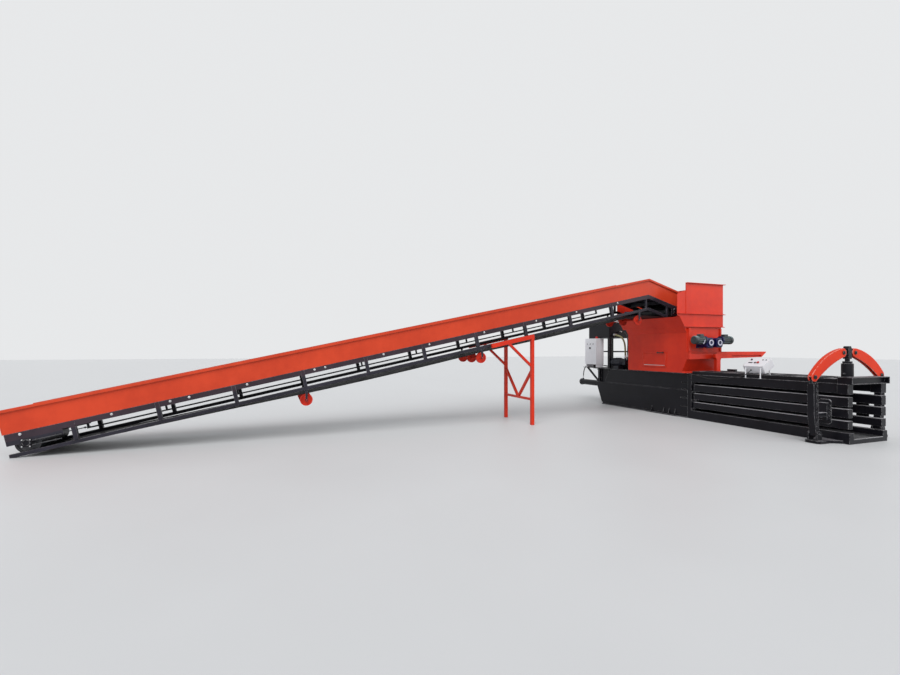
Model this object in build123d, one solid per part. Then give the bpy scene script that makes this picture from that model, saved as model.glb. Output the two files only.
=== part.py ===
from build123d import *
import math
import os

# Horizontal channel baler with a hopper tower and an inclined feed conveyor.
# Millimetres. Origin: centre of the baler's base on the floor.
# +X runs along the baler to the bale exit, +Y away from the conveyor, +Z up.

# Baler body
BODY_HALF = 530
EXIT_X = 3290
BASE_REAR_X = -3240
REAR_LEAN = 280 / 640
CHANNEL_HALF = 410
WALL_OUT = 430
MOUTH_X = -120
CHAMBER_REAR_X = -3420
SILL_TOP = 110
FLOOR_Z = 78
FLOOR_TOP = 90
DECK_Z = 1050
DECK_TOP = 1070
PANEL_SPLIT_Z = 655
WIRE_SLOT_Z = (840, 684, 478, 273)
BULKHEAD_X = (-3360, -3320)
FEED_HOLE_X = (-1650, -300)

# Main cylinder and ram
CYL_Z = 550
CYL_R = 90
CYL_BORE = 70
ROD_R = 60
RAM_HALF = 404
RAM_X = (-3250, -1750)
RAM_Z = (92, 1030)

# Tower
BOX_X = (-2100, -120)
BOX_HALF = 560
BOX_TOP = 2180
TOE_X = -285
TOE_Z = 1400
FLARE_Z = 2040
LIP_Y = 800
LIP_Z = 2425
CHEEK_Y = 870
HOOD_X = (-2200, -100)
HOOD_HALF = 600
HOOD_Z = 2500
HOOD_TOP = 3240
SHEET = 10
GATE_Z = (1480, 1492)
GUIDE_Z = (1400, 1585)
GUIDE_END_Y = 2040
ROTOR_Y = 140
ROTOR_Z = 1800
SHAFT_R = 45
MOTOR_X = 110
MOTOR_Z = 1862

# Bale channel and squeeze
BAR_Z = ((256, 401), (450, 608), (644, 813))
BAR_END_X = 3230
SILL_END_X = 3250
HINGE_X = 20
HINGE_Y = 470
PIN_R = 20
RUN = 0.06
TOP_PLATE_Z = (1034, 1042)
LADDER_TOP = 1122
LADDER_OUT = 475
LADDER_IN = 400
EXIT_BEAM_TOP = 1156
SQUEEZE_X = 2920
ARM_TOP = (168, 1583)
ARM_LOW = (950, 1157)
ARM_W = 160
ARM_BOW = (45, 80)
LEVER_PIVOT = (905, 150)

# Control desk, cabinet and power pack
DESK_AT = (1475, -366, 1374)
DESK_SIZE = (436, 313, 175)
DESK_TILT = 31.6
CABINET_X = (-3975, -3443)
CABINET_Y = (-600, -320)
CABINET_Z = (1175, 1972)
PLATFORM_TOP = 1085
TANK_X = (-4000, -3020)
TANK_Z = (1980, 2450)
TANK_HALF = 450
REAR_LEG_Y = -305
PUMP_Y = -300
PUMP_Z = 1260
HOSE_D = 50
RETURN_D = 32
CYLINDER_HOSE_D = 30
CABLE_D = 14

# Conveyor: heights are measured straight up from the underside of the lower tube
FOOT_Y = -13500
SLOPE = math.tan(math.radians(12.0))
PEAK_Y = -1300
NOSE = math.tan(math.radians(16.4))
CONV_MID_X = -1145
CONV_HALF = 585
TUBE_H = (0, 60)
RAIL_H = (280, 375)
WALL_H = (375, 760)
LIP_H = 700
BED_H = 396
POST_FIRST = -12700
POST_PITCH = 1150
POSTS = 10
BELT_T = 8
BELT_HALF = 520
TAIL = (-13340, 215)
TAIL_R = 165
HEAD_R = 150
HEAD_ON_Y = -430
DISC_Y = (-9250, -5720, -1570)
DISC_R = 112
DISC_H = -187.4
STAND_Y = -4550


def block(x0, x1, y0, y1, z0, z1):
    middle = Pos((x0 + x1) / 2, (y0 + y1) / 2, (z0 + z1) / 2)
    return middle * Box(abs(x1 - x0), abs(y1 - y0), abs(z1 - z0))


def round_x(x0, x1, y, z, r):
    return Pos((x0 + x1) / 2, y, z) * Rot(0, 90, 0) * Cylinder(r, abs(x1 - x0))


def round_y(y0, y1, x, z, r):
    return Pos(x, (y0 + y1) / 2, z) * Rot(90, 0, 0) * Cylinder(r, abs(y1 - y0))


def round_z(z0, z1, x, y, r):
    return Pos(x, y, (z0 + z1) / 2) * Cylinder(r, abs(z1 - z0))


def flat(points):
    return Face(Wire.make_polygon([Vector(*p) for p in points], close=True))


def prism_xz(points, y0, y1):
    return extrude(flat([(x, y0, z) for x, z in points]), y1 - y0, dir=(0, 1, 0))


def prism_yz(points, x0, x1):
    return extrude(flat([(x0, y, z) for y, z in points]), x1 - x0, dir=(1, 0, 0))


def prism_xy(points, z0, z1):
    return extrude(flat([(x, y, z0) for x, y in points]), z1 - z0, dir=(0, 0, 1))


def join(pieces):
    return pieces[0] + pieces[1:]


def across(shape):
    """The same piece on the other side of the baler."""
    return mirror(shape, about=Plane.XZ)


def both(shape):
    return [shape, across(shape)]


def across_belt(shape):
    """The same piece on the other side of the conveyor."""
    return mirror(shape, about=Plane.YZ.offset(CONV_MID_X))


# Baler body

def hinge_post():
    """Corner post with the lugs and the upright pin that carry one side gate."""
    solids = [block(MOUTH_X, -20, WALL_OUT, BODY_HALF, 190, TOP_PLATE_Z[0])]
    for z0, z1 in ((205, 245), (402, 448), (608, 644), (825, 855)):
        solids.append(block(-30, HINGE_X, HINGE_Y - 38, HINGE_Y + 38, z0, z1))
        solids.append(round_z(z0, z1, HINGE_X, HINGE_Y, 38))
    solids.append(round_z(205, 855, HINGE_X, HINGE_Y, PIN_R))
    return solids


def lever_foot():
    """Outrigger plate with two lugs and the pivot pin of a squeeze lever."""
    y, z = LEVER_PIVOT
    plan = [(2690, BODY_HALF), (2790, 690), (2790, 950), (2825, 985), (3015, 985), (3050, 950),
            (3050, 690), (3150, BODY_HALF)]
    solids = [prism_xy(plan, 0, 50)]
    for x in (2838, 2978):
        solids.append(block(x, x + 24, y - 65, y + 65, 40, z))
        solids.append(round_x(x, x + 24, y, z, 65))
    solids.append(round_x(2830, 3010, y, z, 22))
    return solids


def base_frame():
    half = []
    half.append(block(BASE_REAR_X, MOUTH_X, WALL_OUT, 518, 0, SILL_TOP))
    half.append(block(BASE_REAR_X, MOUTH_X, WALL_OUT, 545, 0, 20))
    half.append(block(-1400, -380, 540, 585, 0, 20))
    half.append(block(MOUTH_X, SILL_END_X, CHANNEL_HALF, BODY_HALF, 0, 190))
    for x in (-1250, -850, -680, -490):
        half.append(prism_yz([(BODY_HALF, 20), (582, 20), (BODY_HALF, 170)], x - 6, x + 6))
    half += hinge_post()
    half += lever_foot()
    solids = []
    for piece in half:
        solids += both(piece)
    for x in range(-3100, -100, 800):
        solids.append(block(x - 40, x + 40, -WALL_OUT, WALL_OUT, 0, FLOOR_Z))
    for x in (0, 820, 1640, 2460, SILL_END_X - 40):
        solids.append(block(x - 40, x + 40, -CHANNEL_HALF, CHANNEL_HALF, 0, FLOOR_Z))
    return join(solids)


def channel_floor():
    plate = block(BASE_REAR_X + 10, SILL_END_X, 1 - CHANNEL_HALF, CHANNEL_HALF - 1, FLOOR_Z, FLOOR_TOP)
    return chamfer(plate.edges().filter_by(Axis.Y).group_by(Axis.Z)[-1], 4)


def wire_slots(y0, y1):
    return [block(-330, -140, y0, y1, z - 8, z + 8) for z in WIRE_SLOT_Z]


def side_panel():
    """Folded outer sheet: the lower part stands proud and the rear top is cut away."""
    section = [(518, 60), (530, 60), (530, PANEL_SPLIT_Z), (505, 672), (505, DECK_Z),
               (493, DECK_Z), (493, 664), (518, 647)]
    sheet = prism_yz(section, -3800, MOUTH_X - 5)
    lean_60 = BASE_REAR_X - 60 * REAR_LEAN
    lean_650 = BASE_REAR_X - 650 * REAR_LEAN
    outline = [(lean_60, 60), (MOUTH_X - 5, 60), (MOUTH_X - 5, DECK_Z), (-2930, DECK_Z),
               (-3170, 672), (lean_650, 650)]
    return (sheet & prism_xz(outline, 480, 540)) - wire_slots(480, 540)


def press_chamber():
    """Inner walls, bulkhead, ribs and the deck with the feed opening."""
    wall = [(-3230, FLOOR_Z), (MOUTH_X, FLOOR_Z), (MOUTH_X, DECK_Z), (CHAMBER_REAR_X, DECK_Z),
            (CHAMBER_REAR_X, 520)]
    half = [prism_xz(wall, CHANNEL_HALF, WALL_OUT) - wire_slots(400, 440)]
    half.append(block(-3480, -3410, 415, 500, PANEL_SPLIT_Z, DECK_Z))
    for x in (-3000, -2400, -1800, -1200, -600):
        half.append(block(x - 6, x + 6, WALL_OUT, 493, SILL_TOP, DECK_Z))
    solids = []
    for piece in half:
        solids += both(piece)
    bulkhead = block(*BULKHEAD_X, -WALL_OUT, WALL_OUT, 330, 1000)
    solids.append(bulkhead - round_x(-3500, -3200, 0, CYL_Z, CYL_R))
    deck = block(-3700, -100, -505, 505, DECK_Z, DECK_TOP)
    deck += block(-2160, -100, -565, 565, DECK_Z, DECK_TOP)
    solids.append(deck - block(*FEED_HOLE_X, -400, 400, 1000, 1100))
    return join(solids)


def rear_platform():
    plate = block(-4040, -3440, -620, 620, DECK_TOP, PLATFORM_TOP)
    brace = prism_xz([(-4030, DECK_TOP), (-3950, DECK_TOP), (-3480, 715), (-3480, 660)], 470, 510)
    return join([plate] + both(brace))


def main_cylinder():
    tube = round_x(-4960, -2860, 0, CYL_Z, CYL_R) - round_x(-4920, -2900, 0, CYL_Z, CYL_BORE)
    tube -= round_x(-2900, -2800, 0, CYL_Z, ROD_R + RUN)
    tube += round_x(-4960, -4915, 0, CYL_Z, 105)
    tube += round_x(-3380, BULKHEAD_X[0], 0, CYL_Z, 150) - round_x(-3400, -3300, 0, CYL_Z, CYL_R - 5)
    port = round_z(CYL_Z + 80, 670, -4880, 0, 24) + round_z(CYL_Z + 80, 665, -3480, 0, 24)
    return tube + port


def ram_rod():
    rod = round_x(-4760, -2760, 0, CYL_Z, ROD_R)
    return rod + round_x(-4760, -4700, 0, CYL_Z, CYL_BORE - RUN) + round_x(-2785, -2760, 0, CYL_Z, 110)


def ram():
    """Hollow pressing box with wire grooves across its face and a trailing cover plate."""
    x0, x1 = RAM_X
    shell = block(x0, x1, -RAM_HALF, RAM_HALF, *RAM_Z)
    shell -= block(x0 - 10, x1 - 60, 20 - RAM_HALF, RAM_HALF - 20, RAM_Z[0] + 20, RAM_Z[1] - 20)
    grooves = [block(x1 - 25, x1 + 10, -500, 500, z - 10, z + 10) for z in WIRE_SLOT_Z]
    crosshead = block(-2760, -2720, 15 - RAM_HALF, RAM_HALF - 15, 300, 800)
    cover = block(-3650, x0 + 5, -RAM_HALF, RAM_HALF, RAM_Z[1] - 20, RAM_Z[1])
    return (shell - grooves) + [crosshead, cover]


# Hopper tower

def flare(y_top, z_top, z_bottom):
    """Near-side lip sheet, leaning out from the wall, between two heights."""
    lean = (LIP_Y - BOX_HALF) / (LIP_Z - FLARE_Z)
    y_bottom = BOX_HALF + (z_bottom - FLARE_Z) * lean
    return [(-y_bottom, z_bottom), (SHEET - y_bottom, z_bottom), (SHEET - y_top, z_top), (-y_top, z_top)]


def feed_chamber():
    """Tower box: the front wall's foot leans back and the near wall flares out at its top."""
    x0, x1 = BOX_X
    y_break = BOX_HALF + (BOX_TOP - FLARE_Z) * (LIP_Y - BOX_HALF) / (LIP_Z - FLARE_Z)
    end = [(-BOX_HALF, TOE_Z), (BOX_HALF, TOE_Z), (BOX_HALF, BOX_TOP), (-y_break, BOX_TOP),
           (-BOX_HALF, FLARE_Z)]
    rear = [(-BOX_HALF, DECK_TOP), (BOX_HALF, DECK_TOP)] + end[2:]
    solids = [prism_yz(rear, x0, x0 + SHEET), prism_yz(end, x1 - SHEET, x1)]
    toe = [(TOE_X, DECK_TOP), (x1, TOE_Z), (x1 - SHEET, TOE_Z), (TOE_X - SHEET, DECK_TOP)]
    solids.append(prism_xz(toe, -BOX_HALF, BOX_HALF))
    side = [(x0, DECK_TOP), (TOE_X, DECK_TOP), (x1, TOE_Z), (x1, BOX_TOP), (x0, BOX_TOP)]
    far = prism_xz(side, BOX_HALF - SHEET, BOX_HALF)
    solids.append(far - block(x0 + 15, x1 - 15, 500, 600, GATE_Z[0] - 6, GATE_Z[1] + 6))
    near = prism_xz(side, -BOX_HALF, SHEET - BOX_HALF) & block(x0, x1, -600, 0, DECK_TOP, FLARE_Z)
    solids.append(near - block(-1530, -750, -600, -500, 1230, 1560))
    solids.append(prism_yz(flare(y_break, BOX_TOP, FLARE_Z), x0, x1))
    for side in (-1, 1):
        slope = [(side * 552, 2150), (side * 552, 2136), (side * 290, 1886), (side * 290, 1900)]
        solids.append(prism_yz(slope, x0 + 5, x1 - 5))
        boss = round_x(x0 - 30, x0 + 2, side * ROTOR_Y, ROTOR_Z, 80)
        solids.append(boss)
    solids.append(block(x1 - 2, -70, -543, -478, GUIDE_Z[1], BOX_TOP - 30))
    solids.append(block(x1 - 2, -92, 500, 543, GUIDE_Z[1], BOX_TOP - 30))
    solids.append(prism_xz([(TOE_X - 5, DECK_TOP), (TOE_X + 42, DECK_TOP), (TOE_X - 2, 1130)], -BOX_HALF, BOX_HALF))
    for x in (x0 + 5, x1 - 50):
        solids.append(block(x, x + 45, -555, 555, GATE_Z[0] - 30, GATE_Z[0] - 1))
    for x in (-1500, -1140, -780):
        solids.append(hatch_knuckle(x - 25, x + 25))
    solids.append(round_x(-1540, -740, -573, 1200, 5))
    body = join(solids)
    for side in (-1, 1):
        body -= round_x(x1 - 50, x1 + 50, side * ROTOR_Y, ROTOR_Z, SHAFT_R + 5)
        body -= round_x(x0 - 26, x0 + 50, side * ROTOR_Y, ROTOR_Z, SHAFT_R + RUN)
    return body


def hatch_knuckle(x0, x1):
    return block(x0, x1, -573, -BOX_HALF, 1191, 1209) + round_x(x0, x1, -573, 1200, 9)


def inspection_hatch():
    plate = block(-1550, -730, -570, -BOX_HALF - 0.4, 1215, 1580)
    plate = fillet(plate.edges().filter_by(Axis.Y), 18)
    frame = block(-1520, -760, -576, -569, 1245, 1550) - block(-1500, -780, -590, -560, 1265, 1530)
    solids = [plate, frame]
    for x0, x1 in ((-1470, -1175), (-1105, -810)):
        solids.append(block(x0, x1, -573, -566, 1195, 1225))
        solids.append(round_x(x0, x1, -573, 1200, 9))
    hub = round_y(-583, -569, -1000, 1556, 22)
    return join(solids + [hub]) - round_x(-1600, -700, -573, 1200, 5 + RUN)


def hatch_latch():
    """Turning handle with a cranked grip."""
    hub = round_y(-603, -583.4, -1000, 1556, 20)
    lever = block(-1000, -800, -603, -591, 1546, 1566)
    grip = block(-812, -796, -625, -591, 1540, 1572)
    return hub + lever + fillet(grip.edges().filter_by(Axis.Z), 5)


def guide_rail(x0, x1, y0, lip0, lip1):
    """Side rail with the two strips that hold the gate's edge beyond the tower."""
    z0, z1 = GUIDE_Z
    side = [(y0, z0), (GUIDE_END_Y - 160, z0 + 45), (GUIDE_END_Y, z1 - 22), (GUIDE_END_Y, z1), (y0, z1)]
    rail = prism_yz(side, x0, x1)
    lips = block(lip0, lip1, 610, GUIDE_END_Y - 60, GATE_Z[0] - 28, GATE_Z[0] - 1)
    lips += block(lip0, lip1, 610, GUIDE_END_Y - 60, GATE_Z[1] + 1, GATE_Z[1] + 20)
    return rail + lips


def gate_guides():
    """Two rails beside the tower, the tie at their far end and the bracket post."""
    front = guide_rail(-120, -42, -560, -175, -119)
    front -= block(-104, -30, -600, 560, GUIDE_Z[1] - 12, GUIDE_Z[1] + 5)
    front -= block(-84, -30, -500, 330, GUIDE_Z[1] - 42, GUIDE_Z[1] - 26)
    front -= block(-70, -30, 640, 980, GUIDE_Z[1] - 12, GUIDE_Z[1] + 5)
    front -= block(-80, -30, 840, 1870, 1456, 1494)
    rear = guide_rail(-2175, -2100, -470, -2101, -2045)
    tie = block(-2110, -110, 1975, 2025, 1530, 1572)
    plate = [(95, 1530), (290, 1530), (290, 1440), (255, 1400), (255, 1085), (230, TOP_PLATE_Z[1]),
             (155, TOP_PLATE_Z[1]), (130, 1085), (130, 1400), (95, 1440)]
    post = prism_yz(plate, 42, 118)
    arm = block(-50, 54, 130, 255, 1440, 1500)
    return join([front, rear, tie, post, arm])


def slide_gate():
    plate = block(-2080, -140, -545, 556, *GATE_Z)
    pull = block(-1250, -970, 556, 590, GATE_Z[0], GATE_Z[1]) - block(-1190, -1030, 556, 578, 1400, 1600)
    return plate + pull


def hopper_collar():
    """Lower part of the hood with the upper half of the near lip and its flanges."""
    x0, x1 = HOOD_X
    y_low = BOX_HALF + (BOX_TOP - FLARE_Z) * (LIP_Y - BOX_HALF) / (LIP_Z - FLARE_Z)
    end = [(-y_low, BOX_TOP), (HOOD_HALF, BOX_TOP), (HOOD_HALF, HOOD_Z), (-CHEEK_Y, HOOD_Z),
           (-CHEEK_Y, LIP_Z + 20), (-LIP_Y, LIP_Z)]
    solids = [prism_yz(end, x0, x0 + SHEET), prism_yz(end, x1 - SHEET, x1)]
    solids.append(block(x0, x1, HOOD_HALF - SHEET, HOOD_HALF, BOX_TOP, HOOD_Z))
    solids.append(prism_yz(flare(LIP_Y, LIP_Z, BOX_TOP), x0, x1))
    flange = block(x0 - 20, x1 + 30, -y_low, HOOD_HALF + 30, BOX_TOP, BOX_TOP + 12)
    solids.append(flange - block(-2090, -130, 12 - y_low, 550, 2100, 2300))
    return solids


def hopper_hood():
    """Three walls above the tower, open to the conveyor, with cheeks beside its head."""
    x0, x1 = HOOD_X
    shell = block(x0, x1, -HOOD_HALF, HOOD_HALF, HOOD_Z, HOOD_TOP)
    foot = block(x0 - 40, x1 + 40, -CHEEK_Y, HOOD_HALF + 40, HOOD_Z - 12, HOOD_Z)
    rim = block(x0 - 45, x1 + 45, -HOOD_HALF, HOOD_HALF + 45, HOOD_TOP - 12, HOOD_TOP)
    cheek = prism_yz([(10 - HOOD_HALF, HOOD_Z), (-CHEEK_Y, HOOD_Z), (-CHEEK_Y, 2960),
                      (10 - HOOD_HALF, 3063)], x0 + 10, x1 - 10)
    room = block(x0 + 20, x1 - 20, -1000, HOOD_HALF - SHEET, HOOD_Z - 40, HOOD_TOP + 10)
    return ((shell + foot + rim + cheek) - room) + hopper_collar()


def spike(x, side, angle):
    """Blunt four-sided tooth standing on a rotor."""
    tooth = extrude(Rectangle(26, 26), 56, taper=9)
    return Pos(x, side * ROTOR_Y, ROTOR_Z) * Rot(angle, 0, 0) * Pos(0, 0, 66) * tooth


def perforator_rotor(side):
    solids = [round_x(-2124, -58, side * ROTOR_Y, ROTOR_Z, SHAFT_R)]
    solids.append(round_x(-2075, -145, side * ROTOR_Y, ROTOR_Z, 70))
    for i in range(9):
        x = -1980 + i * 215 + (40 if side > 0 else 0)
        for k in range(4):
            solids.append(spike(x, side, k * 90 + i * 30))
    return join(solids)


def gearbox():
    """Far-side right-angle gear housing with a hollow output and motor flange."""
    case = block(-110, 180, 50, 255, 1685, 1915)
    case = fillet(case.edges().filter_by(Axis.X), 55)
    case = fillet(case.edges().group_by(Axis.X)[-1], 14)
    case += round_x(170, 200, ROTOR_Y, ROTOR_Z, 88)
    case -= round_x(192, 210, ROTOR_Y, ROTOR_Z, 54)
    case += round_y(245, 285, MOTOR_X, MOTOR_Z, 96)
    case += block(BOX_X[1], -100, 40, 265, 1670, 1930)
    return case - round_x(-130, -50, ROTOR_Y, ROTOR_Z, SHAFT_R + RUN)


def rotor_motor():
    """Far-side flange motor with cooling fins, terminal box and fan cowl."""
    body = round_y(285, 520, MOTOR_X, MOTOR_Z, 84)
    cowl = round_y(515, 600, MOTOR_X, MOTOR_Z, 100)
    body += fillet(cowl.edges().group_by(Axis.Y)[-1], 30)
    fins = []
    for i in range(14):
        turn = Rot(0, 360 / 14 * i, 0)
        fins.append(Pos(MOTOR_X, 408, MOTOR_Z) * turn * Pos(0, 0, 88) * Box(6, 220, 20))
    box = block(MOTOR_X - 55, MOTOR_X + 55, 330, 450, MOTOR_Z + 60, MOTOR_Z + 140)
    box = fillet(box.edges().filter_by(Axis.Z), 12)
    box = fillet(box.edges().group_by(Axis.Z)[-1], 8)
    return body + fins + box


# Bale channel

def channel_top():
    """Side beams, top plate with its ladder of stiffeners, and the channel beam over the exit."""
    half = [block(-20, 3061, CHANNEL_HALF, BODY_HALF, 870, TOP_PLATE_Z[0] + 1)]
    half.append(block(3060, BAR_END_X, CHANNEL_HALF - 8, BODY_HALF + 8, 860, TOP_PLATE_Z[0] + 1))
    half.append(block(-40, 3070, LADDER_IN, LADDER_OUT, TOP_PLATE_Z[0], LADDER_TOP))
    half.append(block(3060, EXIT_X, BODY_HALF - 12, BODY_HALF, TOP_PLATE_Z[0], EXIT_BEAM_TOP))
    solids = []
    for piece in half:
        solids += both(piece)
    solids.append(block(MOUTH_X, EXIT_X, -BODY_HALF, BODY_HALF, *TOP_PLATE_Z))
    solids.append(block(-40, 3210, -60, 60, TOP_PLATE_Z[0], LADDER_TOP))
    for x in (0, 760, 1520, 2280):
        solids.append(block(x - 40, x + 40, -LADDER_OUT + 10, LADDER_OUT - 10, TOP_PLATE_Z[0], LADDER_TOP))
    solids.append(block(2770, 3070, -LADDER_OUT + 10, LADDER_OUT - 10, TOP_PLATE_Z[0], LADDER_TOP))
    solids.append(block(170, 380, LADDER_IN + 5, LADDER_OUT - 5, LADDER_TOP - 5, 1168))
    solids.append(block(3205, 3217, 5 - BODY_HALF, BODY_HALF - 5, TOP_PLATE_Z[0], EXIT_BEAM_TOP))
    solids.append(block(3060, EXIT_X, -BODY_HALF, BODY_HALF, EXIT_BEAM_TOP - 12, EXIT_BEAM_TOP))
    solids.append(block(3060, 3072, 5 - BODY_HALF, BODY_HALF - 5, TOP_PLATE_Z[0], EXIT_BEAM_TOP))
    return join(solids)


def side_gate():
    """Three bars tied at the hinge end and by the pressure plate near the exit."""
    solids = []
    for z0, z1 in BAR_Z:
        bar = block(66, BAR_END_X, CHANNEL_HALF, BODY_HALF, z0, z1)
        solids.append(chamfer(bar.edges().filter_by(Axis.X), 8))
        solids.append(block(HINGE_X, 70, HINGE_Y - 36, HINGE_Y + 36, z0 + 8, z1 - 8))
        solids.append(round_z(z0 + 8, z1 - 8, HINGE_X, HINGE_Y, 38))
    solids.append(block(66, 100, CHANNEL_HALF + 8, BODY_HALF - 8, BAR_Z[0][0] + 10, BAR_Z[2][1] - 10))
    plate = [(2770, 340), (2800, 310), (2940, 310), (2970, 340), (2970, 720), (2940, 750), (2800, 750),
             (2770, 720)]
    solids.append(prism_xz(plate, BODY_HALF - 1, BODY_HALF + 18))
    solids.append(block(2800, 2940, BODY_HALF + 17, 600, 380, 690))
    solids.append(block(2860, 2935, 599, 864, 440, 520))
    solids.append(round_x(2860, 2935, 863.5, 480, 20))
    body = join(solids)
    for z0, z1 in BAR_Z:
        body -= round_z(z0, z1, HINGE_X, HINGE_Y, PIN_R + RUN)
    return body


def squeeze_lever():
    y, z = LEVER_PIVOT
    side = [(y - 44, z), (880, 420), (890, 520), (895, 1050), (1010, 1050), (1004, 500), (y + 44, z)]
    lever = prism_yz(side, 2865, 2975) + round_x(2865, 2975, y, z, 46)
    pocket = [(902, 300), (906, 520), (911, 1020), (994, 1020), (989, 500), (950, 300)]
    lever -= prism_yz(pocket, 2860, 2885)
    lever -= prism_yz(pocket, 2955, 2980)
    tongue = block(2900, 2940, 903, 997, 1045, ARM_LOW[1]) + round_x(2900, 2940, *ARM_LOW, 47)
    pin = round_x(2872, 2968, *ARM_LOW, 20) + round_x(2868, 2881, *ARM_LOW, 36)
    pin += round_x(2959, 2972, *ARM_LOW, 36)
    return (lever + tongue + pin) - round_x(2800, 3050, y, z, 22 + RUN)


def arm_slot(bow, shift, width, x0, x1):
    """Slot along an arc between the arm's pins, moved out from the chord by shift."""
    dy = ARM_TOP[0] - ARM_LOW[0]
    dz = ARM_TOP[1] - ARM_LOW[1]
    chord = math.hypot(dy, dz)
    ny, nz = dz / chord, -dy / chord
    low = (ARM_LOW[0] + ny * shift, ARM_LOW[1] + nz * shift)
    top = (ARM_TOP[0] + ny * shift, ARM_TOP[1] + nz * shift)
    middle = ((low[0] + top[0]) / 2 + ny * bow, (low[1] + top[1]) / 2 + nz * bow)
    face = make_face(SlotArc(ThreePointArc(low, middle, top), width).edges())
    return extrude(Plane.YZ.offset(x0) * face, x1 - x0)


def squeeze_arm():
    """Bowed arm, widest in the middle: two cheeks with a rim plate along the outer curve."""
    flat_bow, full_bow = ARM_BOW
    arm = arm_slot(full_bow, 0, ARM_W, 2885, 2955) + arm_slot(flat_bow, 0, ARM_W, 2885, 2955)
    arm -= arm_slot(full_bow, -30, ARM_W + 36, 2897, 2943)
    for y, z in (ARM_LOW, ARM_TOP):
        for x0, x1 in ((2885, 2897), (2943, 2955)):
            arm += round_x(x0, x1, y, z, 45)
    arm -= round_x(2800, 3000, *ARM_TOP, PIN_R + RUN)
    return arm - round_x(2800, 3000, *ARM_LOW, PIN_R + 8)


def squeeze_fork():
    """Rod with a cross head that carries both arms."""
    middle = [(-46, 1470), (46, 1470), (46, 1655), (20, 1702), (-20, 1702), (-46, 1655)]
    solids = [prism_yz(middle, 2872, 2968), round_z(1210, 1520, SQUEEZE_X, 0, 38)]
    plate = [(-168, 1535), (168, 1535), (168, 1620), (-168, 1620)]
    solids.append(prism_yz(plate, 2900, 2940))
    for side in (-1, 1):
        y, z = side * ARM_TOP[0], ARM_TOP[1]
        solids.append(round_x(2872, 2968, y, z, PIN_R))
        solids.append(round_x(2870, 2882, y, z, 34))
        solids.append(round_x(2958, 2970, y, z, 34))
        solids.append(round_x(2900, 2940, y, z, 48))
    return join(solids)


def squeeze_cylinder():
    barrel = round_z(LADDER_TOP, 1385, SQUEEZE_X, 0, 92) + round_z(1384, 1426, SQUEEZE_X, 0, 72)
    barrel += block(2785, 3055, -150, 150, LADDER_TOP, LADDER_TOP + 18)
    barrel += round_y(-130, -80, SQUEEZE_X, 1190, 20)
    return barrel - round_z(LADDER_TOP + 22, 1500, SQUEEZE_X, 0, 38 + RUN)


# Control desk and electric cabinet

def desk_plane():
    tilt = math.radians(DESK_TILT)
    return Plane(origin=DESK_AT, x_dir=(1, 0, 0), z_dir=(0, -math.sin(tilt), math.cos(tilt)))


def control_desk():
    w, d, t = DESK_SIZE
    case = Pos(0, 0, -t / 2) * Box(w, d, t)
    case = fillet(case.edges().filter_by(Axis.Z), 14)
    case = desk_plane() * case
    legs = []
    for x in (1325, 1645):
        legs.append(round_z(TOP_PLATE_Z[1], 1262, x, -496, 12))
        legs.append(round_z(LADDER_TOP + 10, 1300, x, -230, 12))
        legs.append(block(x - 20, x + 20, -520, -478, TOP_PLATE_Z[1], TOP_PLATE_Z[1] + 5))
        legs.append(block(x - 12, x + 12, -496, -452, 1236, 1256))
    rail = block(1305, 1665, -245, -215, LADDER_TOP, LADDER_TOP + 20)
    body = case + legs + rail
    for x, y in (STOP_AT, START_AT):
        body -= desk_plane() * Pos(x, y, -10) * Cylinder(9, 30)
    return body - desk_plane() * Pos(*MODE_AT, -10) * Cylinder(9, 30)


STOP_AT = (45, -25)
START_AT = (-22, -25)
MODE_AT = (-160, 85)


def stop_button():
    button = Pos(0, 0, -4) * Cylinder(8.9, 24) + Pos(0, 0, 20) * Cylinder(26, 10)
    button += Pos(0, 0, 12) * Cylinder(13, 12)
    return desk_plane() * Pos(*STOP_AT, 0) * button


def start_button():
    button = Pos(0, 0, -2) * Cylinder(8.9, 24) + Pos(0, 0, 12) * Cylinder(20, 6)
    return desk_plane() * Pos(*START_AT, 0) * button


def mode_switch():
    knob = Pos(0, 0, -4) * Cylinder(8.9, 18) + Pos(0, 0, 7.5) * Cylinder(18, 11)
    knob += Pos(0, 0, 18) * Box(9, 34, 14)
    return desk_plane() * Pos(*MODE_AT, 0) * knob


def desk_gland():
    """Cable gland on the desk's near edge: hexagon nut and dome."""
    side = desk_plane() * Plane(origin=(GLAND_AT[0], -DESK_SIZE[1] / 2, GLAND_AT[1]), x_dir=(1, 0, 0),
                                z_dir=(0, -1, 0))
    nut = extrude(RegularPolygon(17, 6), 12)
    dome = Pos(0, 0, 18) * Cone(13, 9, 14)
    return side * (nut + dome)


GLAND_AT = (-60, -95)


def cabinet_body():
    x0, x1 = CABINET_X
    z0, z1 = CABINET_Z
    shell = block(x0, x1, -585, CABINET_Y[1], z0, z1)
    shell -= block(x0 + 4, x1 - 4, -600, CABINET_Y[1] - 4, z0 + 4, z1 - 4)
    shell += block(x0 + 3, x0 + 30, -585, -577, z0 + 3, z1 - 3)
    shell += block(x1 - 30, x1 - 3, -585, -577, z0 + 3, z1 - 3)
    plate = block(x0 + 50, x1 - 50, -340, CABINET_Y[1] - 3, z0 + 50, z1 - 50)
    gear = block(x0 + 80, x1 - 80, -410, -339, 1560, 1650) + block(x0 + 80, x1 - 80, -410, -339, 1330, 1430)
    legs = []
    for x in (x0 + 10, x1 - 50):
        legs.append(block(x, x + 40, -575, CABINET_Y[1] - 10, PLATFORM_TOP, z0))
    return join([shell, plate, gear] + legs)


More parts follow.
